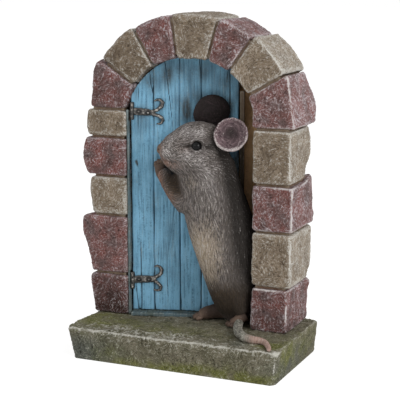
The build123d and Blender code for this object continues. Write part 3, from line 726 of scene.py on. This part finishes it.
def oval_ring(bm, centre, along, wide, deep):
    """A ring across a line: its half width out of the door, and its half depth the other way."""
    along = Vector(along).normalized()
    side = Vector(out_of_door)
    side = (side - along * side.dot(along)).normalized()
    turn = Matrix((side, along.cross(side), along)).transposed().to_4x4()
    matrix = Matrix.Translation(centre) @ turn @ Matrix.Diagonal((wide, deep, 1, 1))
    return bmesh.ops.create_circle(bm, segments=32, radius=1, matrix=matrix)["verts"]


def skin_over(bm, centres, sizes):
    """Adds a closed skin over a row of centres, with its half width and half depth at each."""
    rings = []
    for index, (centre, (wide, deep)) in enumerate(zip(centres, sizes)):
        along = centres[min(index + 1, len(centres) - 1)] - centres[max(index - 1, 0)]
        rings.append(oval_ring(bm, centre, along, wide * mm, deep * mm))
    for ring, following in zip(rings, rings[1:]):
        both = set(ring) | set(following)
        edges = {edge for vert in both for edge in vert.link_edges if edge.other_vert(vert) in both}
        bmesh.ops.bridge_loops(bm, edges=[edge for edge in edges if len(edge.link_faces) < 2])
    for ring in (rings[0], rings[-1]):
        bmesh.ops.contextual_create(bm, geom=ring)
    bmesh.ops.recalc_face_normals(bm, faces=bm.faces)


def limb(bm, rows):
    """A skin over rows of along, out and up in the door's frame, half width and half depth."""
    skin_over(bm, [at_door(*row[:3]) for row in rows], [row[3:] for row in rows])


def dab(skin, place, reach):
    """A soft spot on a skin round a place in the door's frame, in millimetres."""
    return near(skin.points, at_door(*place), reach * mm)


def forged(name, node, rough, dents):
    """A piece of the iron, silvered where it faces out and black in its dents. A dent is a
    place in the door's frame and a reach."""
    iron = Clay(rough, grit=0.2)
    iron.ease(2)
    iron.push(iron.lumps(1.4, 80) * 0.16)
    dented = sum(dab(iron, place, reach) for place, reach in dents)
    iron.push(dented * -0.25)
    facing = held(iron.normals() @ out_of_door)
    wear = 0.5 * iron.wear(8, 0.15) + 1.2 * facing ** 2 - 0.85 + 0.5 * iron.lumps(1.5, 81) - dented
    iron.set_hard(name, iron_paint, "iron", [node], wear=wear)


# How far out of the door each part of a hinge lies, and then its size. A groove of small
# dents runs round each rivet, and two cross the knuckle.
strap_out, strap_half_depth = 0.3, 0.85
rivet_out, rivet_radius = 0.95, 0.8
groove_out, groove_radius, groove_reach, dents_round = 1, 1.25, 0.55, 8
knuckle_out, knuckle_half_sizes = 0.6, (1.3, 1.25)
roll_out, roll_reach = 1.9, 0.6
for hinge, (strokes, rivets, (knuckle_along, low, high)) in hinge_shapes.items():
    rough_strap = bmesh.new()
    for rows in strokes:
        limb(rough_strap, [(along, strap_out, up, strap_half_depth, half) for along, up, half in rows])
    rough_rivets, grooves = bmesh.new(), []
    for along, up in rivets:
        bmesh.ops.create_icosphere(rough_rivets, subdivisions=3, radius=rivet_radius * mm,
            matrix=Matrix.Translation(at_door(along, rivet_out, up)))
        for turn in np.linspace(0, math.tau, dents_round + 1)[:-1]:
            dent = (along + groove_radius * math.cos(turn), groove_out, up + groove_radius * math.sin(turn))
            grooves.append((dent, groove_reach))
    forged(f"{hinge}_strap_forged", f"{hinge}_hinge_strap", rough_strap, grooves)
    rough_knuckle = bmesh.new()
    heights = np.linspace(low, high, 9)
    limb(rough_knuckle, [(knuckle_along, knuckle_out, up, *knuckle_half_sizes) for up in heights])
    rolls = [((knuckle_along, roll_out, low + (high - low) * share), roll_reach) for share in (0.33, 0.67)]
    forged(f"{hinge}_knuckle_forged", f"{hinge}_hinge_knuckle", rough_knuckle, rolls)
    forged(f"{hinge}_rivets_forged", f"{hinge}_hinge_rivets", rough_rivets, [])


# Mouse: modelled in clay over a rough body, then combed into fur with a pointed tool and
# coloured thinly: painted shade along the back, under the chin and round the eyes and ears,
# darker low on the legs and on the arms, tan on the belly, with pale paint rubbed over the hair. Rows of a
# skin are in the door's frame.
body_rows = [(65.5, 13, 20.4, 4.5, 5), (64, 13, 25, 6.8, 9.2), (62.4, 13.3, 30.7, 9.6, 11.6),
    (61.2, 13.6, 38.3, 11.8, 13.8), (59.9, 13.8, 47.2, 12.8, 15.4), (58.1, 13.8, 57, 13.3, 17),
    (56.2, 13.8, 67.6, 13.4, 18.6), (53.9, 13.8, 76.3, 13.3, 19), (51.8, 13.8, 84, 13, 18.8),
    (49.6, 14.4, 92, 12.9, 18), (47.7, 15.4, 103, 12.6, 16.5), (46.5, 16.2, 112, 12.6, 15.5),
    (46, 16.5, 119, 11, 12)]
near_leg_rows = [(63.5, 18, 38, 7.5, 8), (65.5, 19.6, 31, 5, 5.5), (67.3, 20.2, 26.5, 3.6, 3.8)]
far_leg_rows = [(58, 9.5, 36, 7, 8), (55.5, 8.8, 29, 5, 5.6), (54, 8.6, 24.5, 3.6, 4.2)]
head_yaw = math.radians(14)
# Rows of back from the nose, up from its middle, half width and half height.
head_rows = [(0.2, 0.3, 1.9, 2.1), (1.6, 0.2, 3.9, 4.4), (4, -0.2, 6.3, 8), (8.2, -0.7, 9.3, 11.4),
    (12.4, -1.1, 11.9, 14.2), (18, -0.9, 14.2, 16), (24, -0.7, 14.9, 16.3), (30, -1.2, 14, 15),
    (35, -2, 11, 11.5), (38.5, -3, 6, 7)]
nose_at = (19.3, 22, 120.9)


def at_head(back, side, up):
    """A place on the head as along, out and up: back from the nose, to the viewer's side, up."""
    along = nose_at[0] + back * math.cos(head_yaw) + side * math.sin(head_yaw)
    out = nose_at[1] - back * math.sin(head_yaw) + side * math.cos(head_yaw)
    return (along, out, nose_at[2] + up)


near_arm_rows = [(45, 17, 95, 9.5, 9.5), (38.5, 16.5, 89.8, 8.2, 8.2), (33.2, 14.8, 90, 6.6, 7),
    (29.2, 12.8, 93.8, 5.6, 6), (26, 11, 97.3, 5, 5.4), (23, 9.4, 101, 4.5, 4.8),
    (20.5, 8, 104.2, 3.9, 4.2), (18.9, 7, 106.3, 3.2, 3.4)]
far_arm_rows = [(40, 9, 97, 7.5, 7), (33, 6.5, 96.5, 5.5, 5), (28, 5.2, 99.5, 4.4, 4.2),
    (25, 4.6, 102.5, 3.8, 3.6), (23.5, 4.2, 105.5, 3.2, 3)]
throat_rows = [(35.5, 14.5, 109.5, 9, 7), (36.5, 14, 103, 9.5, 8), (39, 14.5, 95, 9.5, 8)]
web_rows = [(36, 11.5, 104, 6.5, 8), (31, 10, 101.5, 5, 6), (26.5, 8.6, 103.5, 3.6, 3.6)]
rough_mouse = bmesh.new()
limb(rough_mouse, body_rows)
limb(rough_mouse, [at_head(back, 0, up) + (wide, high) for back, up, wide, high in head_rows])
for rows in (near_arm_rows, far_arm_rows, throat_rows, web_rows, near_leg_rows, far_leg_rows):
    limb(rough_mouse, rows)
fur = Clay(rough_mouse, grit=0.42)
fur.ease(30)

# Pushes of the thumb: a place, reach and height in millimetres.
eye_at = at_head(20.4, 12.7, 3.6)
thumb_marks = [(eye_at, 5, -1.2), (at_head(21.5, 12.5, 9), 4.5, 0.9), (at_head(14.5, 10.5, 2.6), 3.6, -0.9),
    (at_head(19.5, 13, -6.5), 7, 1.2), (at_head(4.5, 5.5, -2.4), 3.4, 1), (at_head(9, 6.5, -9.5), 4, 0.6),
    (at_head(8.5, 5.5, 5.5), 5, 0.5), ((46, 27, 92), 9, 1.2), ((62.5, 24, 42), 9, 1),
    ((30.5, 17.5, 101.5), 4, -0.8), ((51, 27, 130), 7, -2.6)]
for place, reach, height in thumb_marks:
    fur.push(dab(fur, place, reach) * height)
# The mouth, and the corners of the eye.
creases = [at_head(1.5, 3.5, -5.4), at_head(3.5, 5.5, -6.2), at_head(6, 7.2, -6.5), at_head(8.5, 8.6, -6),
    at_head(15, 11.2, 3.2), at_head(17.2, 11.8, 3.4), at_head(26, 13.6, 2.9)]
crease_reach, crease_depth = 1.4, 0.7
for place in creases:
    fur.push(dab(fur, place, crease_reach) * -crease_depth)
from_eye = np.linalg.norm(fur.points - at_door(*eye_at), axis=1) / mm
lid_radius, lid_width, lid_height = 3.5, 0.8, 0.6
fur.push(np.exp(-((from_eye - lid_radius) / lid_width) ** 2) * lid_height)


def above_neck(place):
    """How far above the neck's slanting line each place in the door's frame is."""
    neck_along, neck_up, slope = 45, 108, 0.35
    return place[:, 2] - neck_up + slope * (place[:, 0] - neck_along)


def lie_of_hair(points, normals):
    """Which way the hair lies: back from the nose, down the body, and out along the arm."""
    before_nose, over_head, paw, forearm = at_head(-6, 0, 3), (44, 10, 175), (14, 4, 108), (29, 11, 92)
    on_head = 1 / (1 + np.exp(-above_neck(in_door(points) / mm) / 2.5))
    on_arm = near(points, at_door(*forearm), 11 * mm)
    flow = 0
    for way, share in ((points - at_door(*before_nose), on_head * (1 - on_arm)),
            (points - at_door(*over_head), (1 - on_head) * (1 - on_arm)), (at_door(*paw) - points, on_arm)):
        flow = flow + unit(way) * share[:, None]
    sway = (0.6 + 0.5 * on_head) * lumps(points, 7 * mm, 90)
    flow = flow + np.cross(normals, flow) * sway[:, None]
    return unit(flow - normals * (flow * normals).sum(axis=1)[:, None])


fur_lie = lie_of_hair(fur.points, fur.normals())
hair = combed(fur.points, fur_lie, 0.8 * mm, 1.9 * mm, 91)
hair_depth = 0.12
haired = 1 - dab(fur, nose_at, 3.5) - np.exp(-(from_eye / 3.6) ** 4)
fur.push(hair * held(haired) * hair_depth)
fur_place = in_door(fur.points) / mm
# Where each tint of the fur lies: a place and a reach in the door's frame, and a share.
fur_tints = {
    # Painted shade along the back, under and round the ears, round the eyes, at the mouth, and between the
    # chin and the arms.
    "soot": [((65, 17, 110), (10, 18, 16), 1.5), ((69, 13, 84), (10.5, 20, 24), 1.6),
        ((72, 10, 58), (10.5, 20, 26), 1.5), ((51, 26, 128), (4, 6, 9), 0.7),
        ((62, 14, 28), (14, 12, 5), 0.5), (eye_at, 4, 1), (at_head(14.5, 11, 3.2), (4, 4, 1.2), 0.7),
        (at_head(27, 13.5, 2.8), (3, 3, 1.6), 0.5), ((55.5, 20, 129), (3.5, 7, 10), 0.9),
        ((60, 20, 119), (7, 7, 6), 1.2), ((52, 8, 133), (9, 6, 6), 0.8),
        (at_head(2.5, 4.5, -5.6), (4, 4, 0.8), 0.4), ((28, 9, 107), (5, 6, 5), 0.8),
        ((33, 13, 101), (3, 6, 3), 0.4)],
    "umber": [((57, 24, 33), (14, 14, 12), 1.3), ((68, 18, 42), (8, 12, 14), 0.5),
        ((26, 13, 102), (6, 7, 6), 1), ((31, 15, 96.5), (6, 7, 6), 0.9), ((33, 13, 104), (6, 7, 6), 0.7),
        ((48, 22, 30), (8, 14, 8), 0.6)],
    "tan": [((43.5, 24, 64), (12, 13, 16), 1), ((47, 25, 46), (8, 10, 9), 0.4),
        ((38, 28, 103), (7, 8, 5), 0.3)],
    "blush": [(nose_at, 5, 0.9), (at_head(3, 4, -7.5), 3.6, 0.8), (at_head(8, 8, -8), (5, 4, 3), 0.4),
        ((15.5, 8, 103), (4, 4, 8), 0.9), ((18, 10, 99), (3.5, 7, 8), 0.9), ((24, 12, 92), (5, 8, 4), 0.8),
        ((28, 14, 96), (8, 8, 8), 0.35), ((67, 21, 28), (3, 4, 4), 0.4),
        (at_head(14, 11, 2), (5, 4, 3), 0.25)],
    "pale": [((34, 31, 132), (7, 8, 3), 0.55), ((44, 31, 131.5), (3.5, 8, 2.5), 0.8),
        ((26, 26, 127), (4, 7, 4), 0.4), ((25, 27, 120), (3.5, 6, 3), 0.45),
        ((43, 35, 116), (4, 8, 4.5), 0.35), ((36, 33, 118.5), (4, 8, 4), 0.3),
        ((49, 30, 109), (4, 8, 5), 0.3), ((47, 29, 97), (7, 8, 12), 0.15),
        ((42, 24, 66), (9, 9, 14), 0.15)],
}
tints = {tint: held(spots_on(fur_place, spots)) for tint, spots in fur_tints.items()}
fur_paint = painted_resin("rubbed fur paint", "#3a3430", "#6d6765", "#625c58", "#c2bdbb", roughness=0.75,
    stains=[("tan", "#ab9a82"), ("blush", "#95705f"), ("umber", "#43372a"), ("soot", "#15110d")],
    strokes=(0.4, 2.2, 0.5), net=0.06, speckle=0.8)
haunch = near(fur_place, (57, 24, 30), (14, 14, 12))
# Painted hair is shorter on the head, and pale paint lies least on what is dark.
length = 1 - 0.65 * held(above_neck(fur_place) / 5)
fur_wear = 0.1 * hair + 0.4 * fur.wear(8, 0.25) + tints.pop("pale") + 0.15 * tints["tan"]
fur_wear -= 0.22 * tints["soot"] + 0.2 * tints["umber"] + 0.2 * haunch
fur.set_hard("mouse_fur", fur_paint, "grey_fur", ["mouse_body", "mouse_head", "left_arm", "right_arm"],
    lie=fur_lie * length[:, None], wear=fur_wear, **tints)


# Eyes: round domes painted glossy black, set deep between the lids, a little nearer to the
# nose than the solids have them.
eye_gloss = bpy.data.materials.new("glossy black enamel")
eye_gloss.use_nodes = True
tree = eye_gloss.node_tree
place = tree.nodes.new("ShaderNodeTexCoord").outputs["Object"]
cloud = add_node(tree, "TexNoise", {"Vector": place, "Scale": 1 / (1.5 * mm)})
deep = add_node(tree, "Mix", {"Factor": cloud, "A": "#020202", "B": "#0a0b0d"}, data_type="RGBA")
glossy = tree.nodes["Principled BSDF"]
tree.links.new(deep.outputs[2], glossy.inputs["Base Color"])
glossy.inputs["Roughness"].default_value = 0.12
glossy.inputs["Specular IOR Level"].default_value = 0.17
nearer_nose = 1.1 * mm
for node in ("left_eye", "right_eye"):
    low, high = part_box(node)
    middle = (low + high) / 2 - nearer_nose * Vector(along_door)
    ball = bmesh.new()
    bmesh.ops.create_icosphere(ball, subdivisions=4, radius=(high - low).x / 2,
        matrix=Matrix.Translation(middle))
    dome = bpy.data.meshes.new(node + "_dome")
    ball.to_mesh(dome)
    ball.free()
    set_piece(node + "_dome", dome, eye_gloss, "eye_gloss", [node])


# Nose: a blunt bare pad of clay pressed on the tip of the head, with two nostrils pricked
# in, in pinkish brown paint.
bare_skin = painted_resin("bare skin paint", "#31271f", "#6f5d50", "#5a483f", "#bbada4", roughness=0.7,
    speckle=1.1, stains=[("soot", "#2c231e")])
nose_rows = [(-0.5, 0.9, 1.3, 1.3), (0.2, 0.7, 2.4, 2.4), (1.4, 0.4, 3.2, 3.2), (3.4, 0.2, 3, 3)]
rough_nose = bmesh.new()
limb(rough_nose, [at_head(back, 0, up) + (wide, high) for back, up, wide, high in nose_rows])
nose = Clay(rough_nose, grit=0.25)
nose.ease(4)
nostril_reach, nostril_depth = 0.8, 0.7
nostrils = sum(dab(nose, at_head(0, side, 0.2), nostril_reach) for side in (-1.6, 1.6))
nose.push(0.12 * nose.lumps(1.2, 92) - nostril_depth * nostrils)
# Painted shade darkens the pricked nostrils.
nose.set_hard("nose_pad", bare_skin, "bare_skin", ["mouse_nose"], wear=nose.wear(8, 0.3),
    soot=held(nostrils))


# Ears: thin round dishes with a rolled rim, set on the head on their own, and brushed in
# rings round a hollow with painted shade in it. The far one is dark all over, dark paint with painted
# shade.
ear_radius = 9.4
# The profile of an ear from its back to its middle: radius and height in millimetres.
ear_profile = [(0, -3.4), (4.6, -3), (8.2, -1.7), (9.7, -0.3), (9.8, 0.7), (9.3, 1.3), (8.6, 1.1),
    (7.8, 0.2), (6.4, -0.6), (4.9, -0.9), (3.8, -1.5), (2.3, -2.2), (0, -2.4)]


def ear_dish(name, node, place, facing, size, soot):
    """One ear, turned from the profile, which faces along, out of and up the door."""
    dish = bmesh.new()
    verts = [dish.verts.new((radius * size * mm, 0, height * mm)) for radius, height in ear_profile]
    edges = [dish.edges.new(pair) for pair in zip(verts, verts[1:])]
    bmesh.ops.spin(dish, geom=verts + edges, cent=(0, 0, 0), axis=(0, 0, 1), angle=math.tau, steps=48,
        use_merge=True)
    bmesh.ops.remove_doubles(dish, verts=dish.verts, dist=0.001 * mm)
    bmesh.ops.recalc_face_normals(dish, faces=dish.faces)
    along, out, up = facing
    normal = Vector(along * along_door + out * out_of_door + up * upward)
    turn = normal.to_track_quat("Z", "Y").to_matrix().to_4x4()
    bmesh.ops.transform(dish, matrix=Matrix.Translation(at_door(*place)) @ turn, verts=dish.verts)
    ear = Clay(dish, grit=0.3)
    ear.push(ear.lumps(7, 95) * 0.4)
    away = ear.points - at_door(*place)
    ray = np.linalg.norm(away, axis=1) / mm
    around = unit(np.cross(away, np.array(normal)))
    around += 0.8 * swirl(ear.points, ear.normals(), 4 * mm, 94)
    rings = combed(ear.points, around, 0.8 * mm, 3.5 * mm, 96)
    ring_gap, rim_width = 2.1, 1.2
    ripple = np.cos((ray / ring_gap + 0.5 + 0.8 * ear.lumps(5, 93)) * math.tau)
    ear.push(0.12 * rings + 0.06 * ripple)
    # Painted shade fills the upper part of the hollow.
    hollow = near(away, (-0.4 * along_door + 1.2 * upward) * mm, 4.6 * mm) * 1.3
    rim = np.exp(-((ray - ear_radius * size) / rim_width) ** 2) * (0.45 - 0.35 * away[:, 2] / (9 * mm))
    wear = (1 - 0.8 * soot) * (0.2 * rings + 0.1 * ripple + 0.3 * ear.wear(8, 0.25) + rim)
    ear.set_hard(name, ear_skin, "ear_skin", [node], soot=held(hollow + soot), lie=around,
        wear=wear - 0.5 * soot - 0.3 * hollow)


ear_skin = painted_resin("ear skin paint", "#3a2e31", "#7c676b", "#6b595c", "#cbc3c0", roughness=0.7,
    stains=[("soot", "#1e1a16")], strokes=(0.5, 2.4, 0.4), net=0.06)
ear_dish("near_ear", "left_ear", (60.6, 25.3, 130.2), (-0.1, 0.9, 0.45), size=1.0, soot=0.0)
# The far ear is dark paint with painted shade all over.
ear_dish("far_ear", "right_ear", (47.6, 4.9, 140), (-0.3, -0.93, 0.2), size=1.08, soot=1.0)


# Paws and feet: bare, with slender toes, modelled on their own and pressed on. Their skin carries
# painted shade, heaviest on the far paw and darkest where they meet the fur.
def toed(name, node, palm_rows, toes, soot, darkest=((0, 0, 0), 1)):
    """A paw or foot from the rows of its palm and toes, with painted shade all over and more in one place.
    """
    rough = bmesh.new()
    for rows in (palm_rows, *toes):
        limb(rough, rows)
    paw = Clay(rough, grit=0.28)
    paw.ease(6)
    paw.flatten(slab_high[2])
    paw.push(paw.lumps(1.2, 97) * 0.14)
    shaded = soot + dab(paw, *darkest) + 0.3 * paw.lumps(4, 98)
    paw_wear = paw.wear(10, 0.35) - 0.3 * soot
    paw.set_hard(name, bare_skin, "bare_skin", [node], soot=held(shaded), wear=paw_wear)


def fingers(knuckles, tips, thick):
    """A toe from each knuckle to each tip, a little bent and tapering."""
    bow, toes = (0, 0.8, 0.3), []
    for knuckle, tip in zip(np.array(knuckles, float), np.array(tips, float)):
        bend = (knuckle + tip) / 2 + bow
        shape = ((knuckle, 1), (bend, 0.95), (tip * 0.85 + bend * 0.15, 0.8), (tip, 0.35))
        toes.append([(*centre, thick * taper, thick * taper) for centre, taper in shape])
    return toes


near_palm = [(21.5, 8.6, 102.5, 3.4, 4), (19.2, 7.2, 105.2, 3, 3.7), (17.8, 5.8, 107.8, 2.3, 3.3),
    (17.4, 4.8, 109.4, 1.6, 2.8)]
near_fingers = fingers([(15.5, 4.6, 108), (16.8, 4.4, 109.2), (18.2, 4.4, 109.4), (19.5, 4.8, 108.6)],
    [(14.6, 2.6, 111), (16.3, 2.2, 112.3), (18.1, 2.2, 112.5), (20, 2.6, 111.3)], thick=1.05)
toed("near_paw", "left_paw", near_palm, near_fingers, soot=0.3, darkest=((22.5, 8, 108), 3))
far_palm = [(24.3, 4.4, 104.5, 2.8, 3), (23.4, 3.8, 107, 2.2, 3), (23, 3.2, 108.6, 1.5, 2.6)]
far_fingers = fingers([(21.6, 2.9, 108), (22.7, 2.8, 108.8), (23.9, 2.8, 108.8), (25, 3.2, 108)],
    [(21, 1.6, 110.8), (22.5, 1.4, 111.8), (24, 1.4, 111.6), (25.6, 1.9, 110.4)], thick=0.95)
toed("far_paw", "right_paw", far_palm, far_fingers, soot=0.85)
far_sole = [(57, 8.6, 25, 3.6, 4.6), (50, 8.6, 24.4, 4, 4.2), (45, 8.6, 23.2, 4.1, 3.7),
    (41.6, 8.5, 22, 3.8, 2.7)]
far_toes = fingers([(42, 6, 22), (41.4, 7.9, 22.2), (41.6, 9.9, 22), (42.6, 11.8, 21.5)],
    [(37.9, 5.6, 20.4), (37.2, 8.2, 20.3), (38, 11, 20.3), (40, 13.4, 20.2)], thick=1.45)
toed("far_foot", "right_foot", far_sole, far_toes, soot=0.2, darkest=((51, 9, 26), 7))
near_sole = [(69, 20, 26, 3, 3.5), (66.2, 20.8, 24.2, 3.1, 3.1), (63.2, 21.2, 22.4, 3.1, 2.5),
    (61, 21.2, 21.4, 2.8, 2)]
near_toes = fingers([(60.9, 19.3, 21.1), (60.6, 20.8, 21.2), (61, 22.4, 21.1), (62.2, 23.8, 20.9)],
    [(57.6, 18.6, 20.1), (57.6, 20.8, 20.1), (59, 23.2, 20), (61.2, 25, 20)], thick=1.2)
toed("near_foot", "left_foot", near_sole, near_toes, soot=0.25, darkest=((69, 20, 27), 4))


# Tail: tapers from under the rump, ringed with scales, and lies along the slab's top to
# its front corner. Grey brown with painted shade at the root and pinkish at the tip. Places are the part's
# own.
tail_rows = [(28.6, 11, 25.5, 2.3), (26.4, 7, 22.6, 2.4), (27.2, 1.5, 21.8, 2.6), (30, -7.2, 21.8, 2.65),
    (34.5, -16.6, 21.7, 2.6), (40.2, -22.4, 21.5, 2.5), (45.6, -24.1, 21.3, 2.3), (49.8, -23.4, 21.1, 2),
    (53, -24.6, 20.9, 1.75), (56, -28.6, 20.7, 1.55), (58.2, -32.4, 20.4, 1.35), (59.2, -35, 20.2, 1.1)]
route = np.array([row[:3] for row in tail_rows]) * mm
rough_tail = bmesh.new()
skin_over(rough_tail, route, [row[3:] * 2 for row in tail_rows])
tail = Clay(rough_tail, grit=0.28)
tail.ease(12)
# How far along the tail each point of its skin is, by the nearest piece of its route.
reached = np.concatenate([[0], np.cumsum(np.linalg.norm(np.diff(route, axis=0), axis=1))])
along_tail = np.zeros(len(tail.points))
nearest = np.full(len(tail.points), np.inf)
for start, end, done in zip(route, route[1:], reached):
    piece = end - start
    share = held((tail.points - start) @ piece / (piece @ piece))
    away = np.linalg.norm(tail.points - start - share[:, None] * piece, axis=1)
    here = away < nearest
    along_tail[here] = (done + share * np.linalg.norm(piece))[here]
    nearest = np.minimum(nearest, away)
ring_gap, scale_size = 1.5 * mm, 1.4 * mm
ringed = np.cos(along_tail / ring_gap * math.tau + tail.lumps(2, 99))
scales = borders(tail.points, scale_size, 10)
tail.push(0.06 * ringed - 0.12 * scales)
tail.flatten(slab_high[2])
tail_skin = painted_resin("tail skin paint", "#2b2721", "#9a978c", "#828075", "#c4c1b7", roughness=0.65,
    net=0.3, shine=0.35, speckle=1.2, stains=[("blush", "#9d7d72"), ("soot", "#2c231e")])
# Painted shade at the root, under the rump, fades out, and towards the tip the scales fade and the skin
# turns pinkish.
soot_length, scaled_length, pink_from, fade = 14 * mm, 44 * mm, 38 * mm, 8 * mm
scaled = scales * np.clip((scaled_length - along_tail) / fade, 0.2, 1)
tail.set_hard("ringed_tail", tail_skin, "bare_skin", ["tail"], wear=0.2 * ringed - 1.15 * scaled + 0.3,
    soot=held(0.8 - along_tail / soot_length), blush=held((along_tail - pink_from) / fade))
